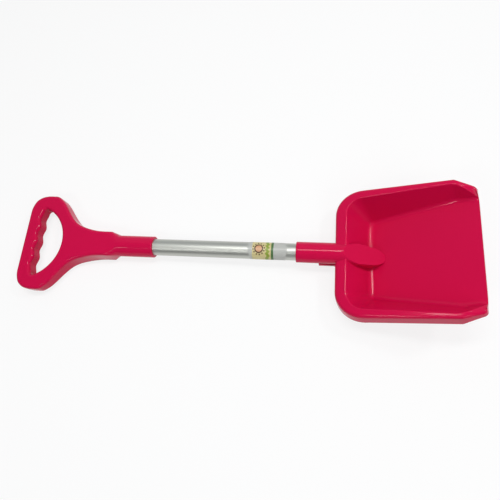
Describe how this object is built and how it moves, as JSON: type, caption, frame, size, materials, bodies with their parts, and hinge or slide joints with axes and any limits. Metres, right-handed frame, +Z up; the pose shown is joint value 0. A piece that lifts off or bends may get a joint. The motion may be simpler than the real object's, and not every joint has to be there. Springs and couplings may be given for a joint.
{
  "type": "toy sand shovel",
  "caption": "Children's sand shovel: deep square-nosed pink plastic scoop, satin aluminium tube and open D-shaped hand grip with finger grooves.",
  "frame": {"origin": "bottom centre of the bounding box, on the ground under the middle of the shovel as it lies on its back", "axes": "+X from the grip towards the digging edge, +Y across the blade, +Z up with the scoop's open side upwards"},
  "size_m": [0.5884, 0.171, 0.0843],
  "materials": {
    "blade_plastic": "glossy injection moulded, fine moulding texture",
    "grip_plastic": "glossy injection moulded",
    "tube_metal": "satin drawn aluminium",
    "label_print": "printed satin film"
  },
  "bodies": {
    "root": {"blade": "blade_plastic", "grip": "grip_plastic", "tube": "tube_metal", "label": "label_print"}
  },
  "joints": []
}
